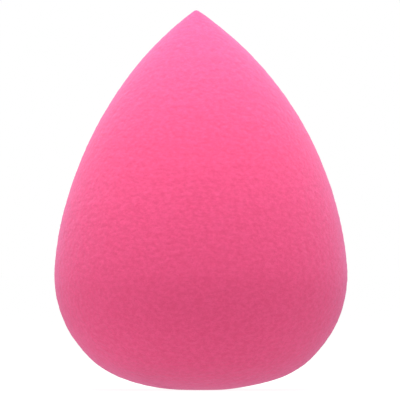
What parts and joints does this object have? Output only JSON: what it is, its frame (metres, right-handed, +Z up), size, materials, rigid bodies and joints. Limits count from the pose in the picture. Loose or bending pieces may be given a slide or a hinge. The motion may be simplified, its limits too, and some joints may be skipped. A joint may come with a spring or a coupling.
{
  "type": "makeup sponge",
  "caption": "Drop-shaped foam makeup sponge with a pointed tip and a broad round base, for dabbing and blending make-up on the face.",
  "frame": {"origin": "middle of the small flat under the base that the sponge stands on", "axes": "+Z up along the drop's axis, from the base to the tip; the shape is the same all round, so X and Y are free, with -Y towards the picture's camera"},
  "size_m": [0.0464, 0.0462, 0.06],
  "materials": {
    "foam": "matte, velvety, very fine open-cell foam skin in bright pink"
  },
  "bodies": {
    "root": {"foam_body": "foam"}
  },
  "joints": []
}
